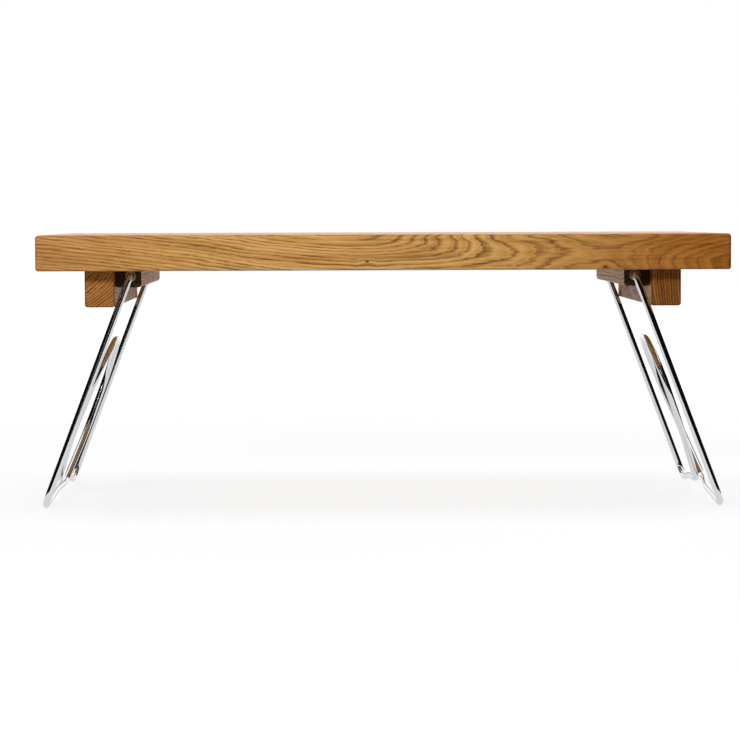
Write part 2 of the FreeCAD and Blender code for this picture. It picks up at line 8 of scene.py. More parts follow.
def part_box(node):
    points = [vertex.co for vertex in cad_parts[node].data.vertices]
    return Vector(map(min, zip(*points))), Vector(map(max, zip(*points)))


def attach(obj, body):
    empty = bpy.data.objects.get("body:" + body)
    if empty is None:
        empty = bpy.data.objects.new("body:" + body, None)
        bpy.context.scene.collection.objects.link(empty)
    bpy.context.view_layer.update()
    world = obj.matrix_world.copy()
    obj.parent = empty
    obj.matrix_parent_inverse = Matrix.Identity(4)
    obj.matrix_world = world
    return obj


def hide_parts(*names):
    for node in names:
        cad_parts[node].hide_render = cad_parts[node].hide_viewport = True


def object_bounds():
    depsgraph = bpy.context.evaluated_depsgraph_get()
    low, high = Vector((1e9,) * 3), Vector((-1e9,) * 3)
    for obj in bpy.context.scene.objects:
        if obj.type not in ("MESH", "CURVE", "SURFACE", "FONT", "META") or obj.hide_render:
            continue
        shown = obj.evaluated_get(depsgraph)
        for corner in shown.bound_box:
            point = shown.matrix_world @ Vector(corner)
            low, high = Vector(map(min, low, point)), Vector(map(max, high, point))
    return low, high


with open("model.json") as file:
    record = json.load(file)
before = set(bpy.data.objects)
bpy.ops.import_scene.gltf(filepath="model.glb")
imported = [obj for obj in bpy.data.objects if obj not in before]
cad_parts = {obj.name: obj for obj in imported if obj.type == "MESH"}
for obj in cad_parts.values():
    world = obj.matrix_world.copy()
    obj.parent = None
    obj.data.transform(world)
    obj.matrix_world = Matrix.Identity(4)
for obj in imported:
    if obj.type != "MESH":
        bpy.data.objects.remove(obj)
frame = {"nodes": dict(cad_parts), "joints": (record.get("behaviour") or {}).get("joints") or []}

bl_info = {
    "name": "Oak bed tray table",
    "version": (1, 0, 0),
    "blender": (4, 5, 0),
    "location": "3D View > Sidebar > Bed tray",
    "description": "Solid oak bed tray on folding chromed wire legs, with its studio stage",
    "category": "Object",
}

CAD_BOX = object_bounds()
STAVES = sorted(name for name in frame["nodes"] if name.startswith("top_stave"))
SIDES = ("left", "right")
MM = 0.001

# The photograph is 740 pixels square. The lines that run to the back meet at this pixel
# of it, and the lens is this many of its pixels long.
PHOTO_SIDE = 740
VANISHING_X = 334.9
VANISHING_Y = 217.2
FOCAL_PIXELS = 2949.6
SENSOR_MM = 36

WHITE = (1.0, 1.0, 1.0, 1.0)


# ---------------------------------------------------------------- shader expressions


class Signal:
    """A node socket that takes part in Python arithmetic."""

    def __init__(self, tree, socket):
        self.tree = tree
        self.socket = socket

    def math(self, operation, *values):
        return self.tree.node("ShaderNodeMath", {"operation": operation}, dict(enumerate(values)))

    def __add__(self, other):
        return self.math("ADD", self, other)

    def __radd__(self, other):
        return self.math("ADD", other, self)

    def __sub__(self, other):
        return self.math("SUBTRACT", self, other)

    def __rsub__(self, other):
        return self.math("SUBTRACT", other, self)

    def __mul__(self, other):
        return self.math("MULTIPLY", self, other)

    def __rmul__(self, other):
        return self.math("MULTIPLY", other, self)

    def __truediv__(self, other):
        return self.math("DIVIDE", self, other)

    def __rtruediv__(self, other):
        return self.math("DIVIDE", other, self)

    def __abs__(self):
        return self.math("ABSOLUTE", self)

    def root(self):
        return self.math("SQRT", self)

    def fraction(self):
        return self.math("FRACT", self)

    def at_least(self, other):
        return self.math("MAXIMUM", self, other)

    def at_most(self, other):
        return self.math("MINIMUM", self, other)

    def ramp(self, low, high, start=0.0, end=1.0):
        """Smooth step from start at low to end at high."""
        settings = {"interpolation_type": "SMOOTHSTEP"}
        return self.tree.node("ShaderNodeMapRange", settings, {
            "Value": self,
            "From Min": low,
            "From Max": high,
            "To Min": start,
            "To Max": end,
        })

    def steps(self, ramps):
        """Sum of several smooth steps, each given as low, high, start and end."""
        total = self.ramp(*ramps[0])
        for ramp in ramps[1:]:
            total = total + self.ramp(*ramp)
        return total


class ShaderTree:
    """Node tree of one material or of the world."""

    def __init__(self, owner):
        owner.use_nodes = True
        self.nodes = owner.node_tree.nodes
        self.links = owner.node_tree.links
        self.nodes.clear()

    def node(self, kind, settings=None, inputs=None, output=0):
        """Add one node: settings first, then the values or links of its sockets.

        output is the socket to go on from. A tuple of them gives one signal for each.
        """
        made = self.nodes.new(kind)
        for key, value in (settings or {}).items():
            setattr(made, key, value)
        for key, value in (inputs or {}).items():
            if isinstance(value, Signal):
                self.links.new(value.socket, made.inputs[key])
            else:
                made.inputs[key].default_value = value
        if isinstance(output, tuple):
            return [Signal(self, made.outputs[key]) for key in output]
        return Signal(self, made.outputs[output]) if made.outputs else None

    def mix(self, factor, first, second, blend="MIX"):
        """Colour between two colours."""
        settings = {"data_type": "RGBA", "blend_type": blend, "clamp_factor": True}
        return self.node("ShaderNodeMix", settings, {0: factor, 6: first, 7: second}, output=2)

    def noise(self, place, detail, roughness):
        """Noise round zero, about -1 to 1, at a scale set by the three values of the place."""
        vector = self.node("ShaderNodeCombineXYZ", None, dict(enumerate(place)))
        value = self.node("ShaderNodeTexNoise", {"noise_dimensions": "3D"}, {
            "Vector": vector,
            "Scale": 1.0,
            "Detail": detail,
            "Roughness": roughness,
        })
        return (value - 0.5) * 2.0

    def bump(self, strength, depth, height):
        """Relief in the surface: depth in metres where the height is 1."""
        inputs = {"Strength": strength, "Distance": depth, "Height": height}
        return self.node("ShaderNodeBump", None, inputs)

    def place(self):
        """Metres in the object's own frame, as three values."""
        metres = self.node("ShaderNodeTexCoord", output="Object")
        return self.node("ShaderNodeSeparateXYZ", None, {0: metres}, output=(0, 1, 2))

    def surface(self, shader):
        self.node("ShaderNodeOutputMaterial", None, {"Surface": shader})


class Layer:
    """One layer of noise: how fast it varies per metre in three directions, how detailed.

    Each board has a seed, which moves its layers along the direction numbered moved.
    """

    def __init__(self, rates, detail=2.0, roughness=0.5, moved=0):
        self.rates = rates
        self.detail = detail
        self.roughness = roughness
        self.moved = moved

    def over(self, values, seed=0.0):
        """The layer over three values, the first of which is a signal."""
        place = [value * rate for value, rate in zip(values, self.rates)]
        if seed:
            place[self.moved] = place[self.moved] + seed
        return values[0].tree.noise(place, self.detail, self.roughness)


def weighed(weights, *parts):
    """Sum of the parts, each times its weight."""
    total = parts[0] * weights[0]
    for weight, part in zip(weights[1:], parts[1:]):
        total = total + part * weight
    return total


def linear(colour):
    """Linear RGBA of a display colour given as 0 to 255."""
    channels = []
    for channel in colour:
        value = channel / 255
        channels.append(value / 12.92 if value <= 0.04045 else ((value + 0.055) / 1.055) ** 2.4)
    return (*channels, 1.0)


def new_material(name):
    material = bpy.data.materials.new(name)
    return material, ShaderTree(material)


# ---------------------------------------------------------------- oak

# Layers over the board's length, width and thickness
WANDER = Layer((6.0, 24.0, 24.0), roughness=0.45)
RIPPLE = Layer((30.0, 60.0, 95.0), roughness=0.55)
FEATHER = Layer((26.0, 720.0, 720.0), roughness=0.6, moved=1)
PORES = Layer((105.0, 1900.0, 1900.0), 1.0, 0.4)
FIBRES = Layer((240.0, 3600.0, 3600.0), 1.0, moved=1)
STRANDS = Layer((16.0, 520.0, 520.0), roughness=0.55, moved=1)
PATCHES = Layer((3.4, 14.0, 14.0))
HANDLING = Layer((18.0, 40.0, 40.0), 3.0, 0.6, moved=1)

# Layers that follow the rings: over length, radius and width, or over years
THREADS = Layer((16.0, 620.0, 30.0), 3.0, 0.7)
BANDS = Layer((2.5, 105.0, 1.0), 1.0)
SPACING = Layer((0.45, 1.0, 1.0), 1.0, moved=1)
VIGOUR = Layer((5.0, 0.9, 1.0), 1.0, moved=2)
RAYS = Layer((190.0, 620.0, 0.15), 0.0, moved=2)

RIPPLE_DEPTH = 0.0011
SPACING_YEARS = 0.55
SEED_STEP = 7.31

# Parts of a year: the porous line is darkest, the line has faded, the late wood begins.
# A line's strength varies by VIGOUR_SWING round VIGOUR_MEAN.
LINE_DARKEST = 0.14
LINE_FADED = 0.60
LATE_BEGINS = 0.50
VIGOUR_MEAN = 0.80
VIGOUR_SWING = 0.40

# Noise values between which pores and rays appear, and how the lines crowd the pores
PORE_SHOWS = (0.40, 0.66)
PORE_CROWDING = 0.34
RAY_SHOWS = (0.46, 0.72)

# Weights: late wood, strands, threads and bands take the pale wood to the late colour
RIPENING = (0.40, 0.55, 0.80, 0.6)
RIPE_ALREADY = 0.26
# Depth of the lines on a face, the depth that end grain adds, and threads and strands
LINE_DEPTH = 0.88
END_LINE_DEPTH = 0.57
LINE_BREAKING = (0.60, 0.35)
# Patches, fibres and arrises deepen the tint; at the arrises this is painted shade along the
# rounded edges
SHADING = (0.16, 0.05, 0.35)
# Haze of handling, pores and lines dull the face
DULLING = (0.05, 0.18, 0.05)
# Strands and fibres stand up; pores, lines and knot cores lie low
RELIEF = (0.30, 0.22, -1.0, -0.35, -1.5)
PORE_SHARE = 0.60
RAY_SHARE = 0.32
KNOT_SHARE = 0.85

# A pin knot is this many of its sizes long and high, and the rings bend round it as far
# out as KNOT_REACH, by KNOT_BEND sizes. Its dark core fades from CORE_IN to CORE_OUT.
KNOT_LENGTH = 3.2
KNOT_HEIGHT = 1.9
KNOT_REACH = 2.4
KNOT_BEND = 1.2
CORE_IN = 0.18
CORE_OUT = 0.55

# Within ARRIS_IN metres of a side a face counts as that side, fading until ARRIS_OUT
ARRIS_IN = 0.0003
ARRIS_OUT = 0.0017

OIL_IOR = 1.47
OIL_COAT_ROUGHNESS = 0.15
PORE_DEPTH = 0.00016

# Added roughness, clear coat and specular level of the sanded top and the planed battens
SANDED = (0.0, 0.2, 0.2)
PLANED = (0.1, 0.0, 0.10)


class Log:
    """The log a board was cut from: the width of its rings, its colour and its finish.

    ring is the width of one year's growth in metres. tone deepens the whole board, and
    end darkens the sawn ends: partly the oil they soak up, partly painted shade, most of all
    on the axle battens' ends that sit back in shadow. wander and feather are how far, in
    metres, the rings stray slowly and how far their outlines fray.
    """

    wander = 0.0042
    feather = 0.0004

    def __init__(self, ring, tone=0.0, end=0.15, finish=SANDED):
        self.ring = ring
        self.tone = tone
        self.end = end
        self.finish = finish

    def tone_at(self, along):
        """How much deeper the colour is at each place along the board."""
        return self.tone

    def line_at(self, along):
        """Strength of the porous lines at each place along the board."""
        return 1.0


class SweptLog(Log):
    """A log with a gently bent heart.

    heart is its place (across, up) at the middle of the board's length, in metres, lean
    its slope along the board and sweep its bend.
    """

    def __init__(self, heart, lean, sweep, ring, **colour):
        super().__init__(ring, **colour)
        self.heart = heart
        self.lean = lean
        self.sweep = sweep

    def heart_at(self, along):
        """Across and up of the heart at each place along the board."""
        bend = along * along
        return [
            self.heart[axis] + along * self.lean[axis] + bend * self.sweep[axis]
            for axis in (0, 1)
        ]


class FrontLog(Log):
    """The front stave's log, whose heart nears the front edge and gives it a flame.

    Each row is one smooth change along the board: from, to, start value, end value.
    """

    wander = 0.0036
    feather = 0.0010
    heights = (
        (-0.40, 0.02, 0.276, 0.238),
        (0.0, 0.13, 0.0, -0.014),
        (0.17, 0.28, 0.0, -0.010),
    )
    depths = (
        (-0.03, 0.10, 0.0045, 0.0250),
        (0.05, 0.19, 0.0, 0.0130),
        (0.19, 0.31, 0.0, -0.0230),
    )
    tones = ((0.06, 0.30, 0.0, 0.86), (-0.32, -0.10, 0.50, 0.0))
    lines = ((0.17, 0.27, 1.0, 0.82),)

    def heart_at(self, along):
        """Behind the front edge and up: it sinks and moves back towards the right."""
        return along.steps(self.depths) + CAD_BOX[0][1], along.steps(self.heights)

    def tone_at(self, along):
        return along.steps(self.tones)

    def line_at(self, along):
        return along.steps(self.lines)


# The staves behind the front one, front to back
STAVE_LOGS = (
    SweptLog((-0.070, 0.175), (0.012, 0.03), (0.05, -0.30), 0.0034, tone=0.14),
    SweptLog((-0.045, 0.320), (-0.03, 0.02), (0.02, 0.20), 0.0029, tone=0.02),
    SweptLog((0.060, 0.165), (0.02, -0.05), (-0.06, -0.20), 0.0036, tone=0.07),
    SweptLog((0.062, 0.300), (0.01, -0.03), (0.04, 0.34), 0.0031, tone=0.16),
    SweptLog((0.205, 0.190), (-0.04, 0.02), (-0.03, -0.10), 0.0033, tone=0.02),
)
BATTEN_SWEEP = (0.0, 0.1)
STOP_RING = 0.0022
BATTEN_LOGS = {
    "left_stop_batten": SweptLog(
        (-0.288, 0.240), (0.01, 0.01), BATTEN_SWEEP, STOP_RING, tone=0.60, end=0.12, finish=PLANED),
    "right_stop_batten": SweptLog(
        (0.352, 0.200), (0.01, 0.02), BATTEN_SWEEP, STOP_RING, tone=0.70, end=0.32, finish=PLANED),
    # painted shade: the axle battens' ends sit far back under the top, and their high end value
    # paints the shadow there
    "left_axle_batten": SweptLog(
        (-0.190, 0.260), (0.01, 0.01), BATTEN_SWEEP, 0.0026, tone=0.10, end=0.90, finish=PLANED),
    "right_axle_batten": SweptLog(
        (0.250, 0.150), (0.02, 0.01), BATTEN_SWEEP, 0.0028, tone=0.10, end=0.92, finish=PLANED),
}

# The battens are numbered on from here, so that each board has a seed of its own
FIRST_BATTEN_NUMBER = 11

# Pin knots of the front edge: along, up and size in metres
KNOTS = ((-0.0142, 0.2168, 0.0015), (0.1913, 0.2116, 0.0017))


def near_sides(axes, node):
    """For each axis, 1 within a hair of the piece's own sides and 0 further in."""
    closeness = []
    for value, low, high in zip(axes, *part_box(node)):
        inset = abs(value - (low + high) / 2) - (high - low) / 2
        closeness.append(inset.ramp(-ARRIS_OUT, -ARRIS_IN))
    return closeness


def ring_radius(log, board, seed):
    """Metres from the log's heart, with the wander, ripple and fraying of real rings."""
    along, across, up = board
    heart_across, heart_up = log.heart_at(along)
    off_across = across - heart_across
    off_up = up - heart_up
    wander = WANDER.over(board, seed) * log.wander
    ripple = RIPPLE.over(board, seed) * RIPPLE_DEPTH
    feather = FEATHER.over(board, seed) * log.feather
    return (off_across * off_across + off_up * off_up).root() + wander + ripple + feather


def bend_round_knots(board, radius, knots):
    """The radius bent round each pin knot, and 1 in the knots' dark cores."""
    along, _, up = board
    core = 0.0
    for knot_along, knot_up, size in knots:
        gap_along = (along - knot_along) / (size * KNOT_LENGTH)
        gap_up = (up - knot_up) / (size * KNOT_HEIGHT)
        gap = (gap_along * gap_along + gap_up * gap_up).root()
        radius = radius + gap.ramp(0.0, KNOT_REACH, size * KNOT_BEND, 0.0)
        core = gap.ramp(CORE_IN, CORE_OUT, 1.0, 0.0) + core
    return radius, core


def growth(log, board, radius, seed):
    """Years from the heart, the dark porous line that starts each, and its late wood."""
    along = board[0]
    even = radius / log.ring
    year = even + SPACING.over((even, 0.0, 0.0), seed) * SPACING_YEARS
    season = year.fraction()
    line = season.ramp(0.0, LINE_DARKEST) * season.ramp(LINE_DARKEST, LINE_FADED, 1.0, 0.0)
    vigour = VIGOUR.over((along, year, 0.0), seed) * VIGOUR_SWING + VIGOUR_MEAN
    return year, line * vigour * log.line_at(along), season.ramp(LATE_BEGINS, 1.0)


def make_oak(node, wood, log, along_axis, number, knots=()):
    """Oiled oak cut from a log: growth rings, pores, rays and wear, from real places, with painted
    shade on the arrises and the sawn ends.
    """
    material, tree = new_material(f"oak_{node}")
    axes = tree.place()
    lengthwise = along_axis == "X"
    along, across = (axes[0], axes[1]) if lengthwise else (axes[1], axes[0])
    board = (along, across, axes[2])
    seed = number * SEED_STEP

    radius = ring_radius(log, board, seed)
    radius, core = bend_round_knots(board, radius, knots)
    year, line, late = growth(log, board, radius, seed)
    thread = THREADS.over((along, radius, across), seed)
    band = BANDS.over((along, radius, 0.0), seed)
    fibre = FIBRES.over(board, seed)
    strand = STRANDS.over(board, seed)
    # open vessels, long along the grain and crowded in the porous lines
    pore = (PORES.over(board, seed) + line * PORE_CROWDING).ramp(*PORE_SHOWS)
    # short flecks on the faces cut across the rings' tangent
    ray = RAYS.over((along, radius, year), seed).ramp(*RAY_SHOWS)

    sides = near_sides(axes, node)
    end_face = sides[0] if lengthwise else sides[1]
    # painted shade along the arrises, where two of the piece's sides meet
    arris_shade = sides[0].at_most(sides[1]).at_least(sides[1].at_most(sides[2]))
    arris_shade = arris_shade.at_least(sides[2].at_most(sides[0]))

    ripeness = weighed(RIPENING, late, strand, thread, band) + RIPE_ALREADY
    colour = tree.mix(ripeness, wood.pale, wood.mid)
    depth = line * (end_face * END_LINE_DEPTH + LINE_DEPTH)
    colour = tree.mix(depth + weighed(LINE_BREAKING, thread, strand), colour, wood.dark)
    colour = tree.mix(pore * PORE_SHARE, colour, wood.pore)
    colour = tree.mix(ray * RAY_SHARE, colour, wood.ray)
    # deepen towards the heartwood tint: wood tone from patches, fibres and the log, plus painted
    # shade at the arrises
    shade = weighed(SHADING, PATCHES.over(board, seed), fibre, arris_shade) + log.tone_at(along)
    colour = tree.mix(shade, colour, wood.deep, "MULTIPLY")
    # end grain towards the dark end colour: partly the oil it soaks up, partly painted shade on
    # ends set back under the top
    colour = tree.mix(end_face * log.end, colour, wood.soaked_and_shaded)
    if knots:
        colour = tree.mix(core * KNOT_SHARE, colour, wood.knot)

    # satin oil: the pores stay duller, and the face carries a faint haze of handling
    added_roughness, coat, specular = log.finish
    dulling = weighed(DULLING, HANDLING.over(board, seed), pore, line)
    roughness = dulling + (wood.roughness + added_roughness)
    height = weighed(RELIEF, strand, fibre, pore, line, core)
    tree.surface(tree.node("ShaderNodeBsdfPrincipled", None, {
        "Base Color": colour,
        "Roughness": roughness,
        "Normal": tree.bump(wood.relief, PORE_DEPTH, height),
        "IOR": OIL_IOR,
        "Coat Weight": coat,
        "Coat Roughness": OIL_COAT_ROUGHNESS,
        "Specular IOR Level": specular,
    }))
    return material


# ---------------------------------------------------------------- metals

CHROME_HAZE = Layer((34.0, 34.0, 34.0), 3.0, 0.6)
CHROME_SPECKS = Layer((900.0, 900.0, 900.0), 1.0)
DRAW_LINES = Layer((1500.0, 160.0, 160.0))
TURNED_RINGS = Layer((120.0, 9000.0, 120.0))
STEEL_HAZE = Layer((300.0, 300.0, 300.0), 3.0, 0.6)
ZINC_BLOOM = Layer((700.0, 700.0, 700.0), 3.0, 0.6)

# Roughness: the least of the chrome, and that of plain steel and zinc
SMOOTHEST = 0.02
DULL_METAL = 0.34

# Handling marks: the noise values between which they appear, and their share in colour
MARK_SHOWS = (0.55, 0.80)
MARK_SHARE = 0.35

# Weights in the roughness: haze and marks on chrome, rings and haze on steel, bloom
CHROME_DULLING = (0.02, 0.08)
STEEL_DULLING = (0.06, 0.05)
ZINC_DULLING = 0.10

# Strength and depth in metres of the relief, and its weights of draw lines and haze
DRAWN_RELIEF = (0.06, 0.00002)
TURNED_RELIEF = (0.3, 0.00002)
BLOOM_RELIEF = (0.3, 0.00003)
DRAWN_HEIGHT = (1.0, 0.4)


def even_share(noise):
    """0 to 1 from a noise of -1 to 1."""
    return noise * 0.5 + 0.5


def metal_surface(tree, colour, roughness, relief):
    tree.surface(tree.node("ShaderNodeBsdfPrincipled", None, {
        "Base Color": colour,
        "Metallic": 1.0,
        "Roughness": roughness,
        "Normal": relief,
    }))


def make_chrome(name, metal):
    """Bright plating on drawn wire: faint draw lines, haze and small handling marks."""
    material, tree = new_material(name)
    place = tree.place()
    haze = CHROME_HAZE.over(place)
    mark = CHROME_SPECKS.over(place).ramp(*MARK_SHOWS)
    colour = tree.mix(even_share(haze), metal.chrome, metal.chrome_cool)
    colour = tree.mix(mark * MARK_SHARE, colour, metal.mark)
    roughness = weighed(CHROME_DULLING, haze, mark) + metal.chrome_roughness
    height = weighed(DRAWN_HEIGHT, DRAW_LINES.over(place), haze)
    relief = tree.bump(*DRAWN_RELIEF, height)
    metal_surface(tree, colour, roughness.at_least(SMOOTHEST), relief)
    return material


def make_turned_steel(name, metal):
    """Turned and plated steel: fine rings along the pivot axis."""
    material, tree = new_material(name)
    place = tree.place()
    turned = TURNED_RINGS.over(place)
    haze = STEEL_HAZE.over(place)
    colour = tree.mix(even_share(haze), metal.chrome, metal.mark)
    roughness = weighed(STEEL_DULLING, turned, haze) + DULL_METAL
    metal_surface(tree, colour, roughness, tree.bump(*TURNED_RELIEF, turned))
    return material


def make_zinc(name, metal):
    """Zinc plating on the screws: dull silver with a mottled bloom."""
    material, tree = new_material(name)
    bloom = ZINC_BLOOM.over(tree.place())
    colour = tree.mix(even_share(bloom), metal.zinc, metal.zinc_dull)
    roughness = bloom * ZINC_DULLING + DULL_METAL
    metal_surface(tree, colour, roughness, tree.bump(*BLOOM_RELIEF, bloom))
    return material


# ---------------------------------------------------------------- leg wire

BEND_STEP_DEGREES = 4
ROD_SIDES = 48

# The wire's ends are shallow domes: their rise and the radius of their flat, in radii
DOME_RISE = 0.2
DOME_FLAT = 0.8


def bent_line(corners, step):
    """Points along straight runs joined by tangent arcs, no further apart than step.

    Each corner is a point and the radius of its bend.
    """
    points = [corners[0][0]]

    def run_to(end):
        start = points[-1]
        count = max(1, math.ceil((end - start).length / step))
        points.extend(start.lerp(end, index / count) for index in range(1, count + 1))

    for before, (corner, radius), after in zip(corners, corners[1:], corners[2:]):
        towards = (corner - before[0]).normalized()
        away = (after[0] - corner).normalized()
        turn = towards.angle(away)
        setback = radius * math.tan(turn / 2)
        run_to(corner - towards * setback)
        middle = corner + (away - towards).normalized() * (radius / math.cos(turn / 2))
        spin = towards.cross(away).normalized()
        arm = points[-1] - middle
        count = max(2, math.ceil(math.degrees(turn) / BEND_STEP_DEGREES))
        for index in range(1, count + 1):
            points.append(middle + Matrix.Rotation(turn * index / count, 3, spin) @ arm)
    run_to(corners[-1][0])
    return points


def tube_mesh(name, points, radius, sides):
    """Smooth round tube along the points, closed with a shallow dome at each end."""
    tangents = []
    for index in range(len(points)):
        ahead = points[min(index + 1, len(points) - 1)]
        behind = points[max(index - 1, 0)]
        tangents.append((ahead - behind).normalized())
    side = tangents[0].orthogonal().normalized()
    rings = []
    for index, tangent in enumerate(tangents):
        if index:
            side = tangents[index - 1].rotation_difference(tangent) @ side
        side = (side - tangent * side.dot(tangent)).normalized()
        rings.append((points[index], side.copy(), tangent.cross(side)))
    dome = radius * DOME_RISE
    first, last = rings[0], rings[-1]
    first_cap = (first[0] - tangents[0] * dome, first[1], first[2])
    last_cap = (last[0] + tangents[-1] * dome, last[1], last[2])
    loops = [(ring, 1.0) for ring in rings]
    loops = [(first_cap, DOME_FLAT), *loops, (last_cap, DOME_FLAT)]
    vertices = []
    for (middle, one, other), share in loops:
        for index in range(sides):
            angle = 2 * math.pi * index / sides
            offset = one * math.cos(angle) + other * math.sin(angle)
            vertices.append(middle + offset * radius * share)
    faces = [tuple(range(sides))[::-1]]
    for loop in range(len(loops) - 1):
        base = loop * sides
        for index in range(sides):
            here = base + index
            beside = base + (index + 1) % sides
            faces.append((here, beside, beside + sides, here + sides))
    faces.append(tuple(range((len(loops) - 1) * sides, len(loops) * sides)))
    mesh = bpy.data.meshes.new(name)
    mesh.from_pydata([tuple(vertex) for vertex in vertices], [], faces)
    mesh.validate()
    for polygon in mesh.polygons:
        polygon.use_smooth = len(polygon.vertices) == 4
    return mesh


def half_leg(side, sideways, wire, foot_line):
    """Corners of the wire from one pin to the far corner of the hoop.

    The leg hangs straight down from its pivot axis along Y, with +X on its outer side.
    """
    upright = wire.upright_reach
    rise = wire.foot_rise
    foot_corner = foot_line + wire.foot_bend * (math.tan(math.pi / 4 + rise / 2) - 1)
    knee_depth = foot_corner - (upright - wire.knee_reach) * math.tan(rise)
    crossing_depth = foot_line - wire.crossing_rise
    slope = (crossing_depth - knee_depth) / (wire.knee_reach + wire.crossing_reach)
    joggle_depth = knee_depth + slope * (wire.knee_reach - wire.joggle_reach)
    pin_end = upright - wire.top_bend - wire.pin_length

    def corner(out, along_axis, depth, bend):
        return Vector((out, side * along_axis, -depth)), bend

    return [
        corner(0, pin_end, 0, 0),
        corner(0, upright, 0, wire.top_bend),
        corner(0, upright, foot_corner, wire.foot_bend),
        corner(0, wire.knee_reach, knee_depth, wire.bar_bend),
        corner(sideways, wire.joggle_reach, joggle_depth, wire.bar_bend),
        corner(sideways, -wire.crossing_reach, crossing_depth, wire.crossing_bend),
        corner(sideways, -wire.strand_reach, foot_line - wire.strand_rise, wire.strand_bend),
        corner(0, -wire.hoop_reach, foot_line - wire.hoop_rise, wire.hoop_bend),
    ]


def open_angle(wire, pivot):
    """Lean of the open leg, from where it meets the rounded nose of the stop batten."""
    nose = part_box("right_stop_batten")
    out = nose[0][0] - pivot[0] + wire.nose_radius
    down = pivot[2] - nose[0][2] - wire.nose_radius
    reach = wire.rod_diameter / 2 + wire.nose_radius + wire.stop_clearance
    return math.acos(reach / math.hypot(out, down)) - math.atan2(down, out)


def make_leg_mesh(name, wire, pivot, turned):
    """Mesh of one leg in place: hung on its pivot, leaning out on the stop batten."""
    lean = open_angle(wire, Vector((abs(pivot[0]), pivot[1], pivot[2])))
    foot_line = (pivot[2] - wire.rod_diameter / 2) / math.cos(lean)
    inner = wire.inner_step
    outer = inner + wire.rod_diameter + wire.crossing_gap
    corners = half_leg(-1, outer, wire, foot_line)
    corners += half_leg(1, inner, wire, foot_line)[::-1]
    points = bent_line(corners, wire.rod_diameter)
    turn = Matrix.Rotation(math.pi if turned else 0.0, 4, "Z") @ Matrix.Rotation(-lean, 4, "Y")
    place = Matrix.Translation(pivot) @ turn
    return tube_mesh(name, [place @ point for point in points], wire.rod_diameter / 2, ROD_SIDES)


def finish_node(name, material):
    """Give a CAD node one finish all over."""
    node = frame["nodes"][name]
    node.data.materials.clear()
    node.data.materials.append(material)
    for polygon in node.data.polygons:
        polygon.material_index = 0


# ---------------------------------------------------------------- settings


def colour_property(name, description, display):
    """A colour, written as its display values from 0 to 255."""
    return bpy.props.FloatVectorProperty(
        name=name,
        description=description,
        subtype="COLOR",
        size=4,
        min=0.0,
        max=1.0,
        default=linear(display),
    )


def share_property(name, description, share):
    """A number from 0 to 1."""
    return bpy.props.FloatProperty(
        name=name,
        description=description,
        subtype="FACTOR",
        min=0.0,
        max=1.0,
        default=share,
    )


def length_property(name, description, millimetres):
    return bpy.props.FloatProperty(
        name=name,
        description=description,
        subtype="DISTANCE",
        unit="LENGTH",
        default=millimetres * MM,
    )


def angle_property(name, description, degrees):
    return bpy.props.FloatProperty(
        name=name,
        description=description,
        subtype="ANGLE",
        unit="ROTATION",
        default=math.radians(degrees),
    )


class BEDTRAY_PG_wood(bpy.types.PropertyGroup):
    pale: colour_property("Pale wood", "Colour of the wide band of each year", (214, 166, 96))
    mid: colour_property("Late wood", "Colour towards the end of each year", (177, 125, 58))
    dark: colour_property("Early wood", "Colour of the porous line of each year", (116, 68, 22))
    pore: colour_property("Pores", "Colour inside the open pores", (100, 60, 22))
    ray: colour_property("Rays", "Colour of the ray flecks", (214, 174, 118))
    deep: colour_property("Heartwood tint", "Tint of the deeper toned wood", (190, 142, 42))
    # painted shade as well as oil: this near-black colour also stands for the shadow on the
    # battens' ends set back under the top
    soaked_and_shaded: colour_property("Soaked ends", "Colour of end grain full of oil", (32, 20, 12))
    knot: colour_property("Knots", "Colour of the pin knots", (66, 34, 18))
    ring_width: length_property("Ring width", "One year's growth in the front stave", 2.9)
    roughness: share_property("Roughness", "Base roughness of the oiled face", 0.33)
    relief: share_property("Relief", "How strongly pores and grain stand in relief", 0.55)


class BEDTRAY_PG_metal(bpy.types.PropertyGroup):
    chrome: colour_property("Chrome", "Colour of the plating", (244, 245, 246))
    chrome_cool: colour_property("Chrome haze", "Cooler colour of the plating", (232, 234, 238))
    mark: colour_property("Marks", "Colour of specks and handling marks", (168, 168, 170))
    zinc: colour_property("Zinc", "Bright colour of the screws", (196, 196, 190))
    zinc_dull: colour_property("Dull zinc", "Dull colour of the screws", (148, 148, 142))
    chrome_roughness: share_property("Chrome roughness", "Base roughness of the plating", 0.045)


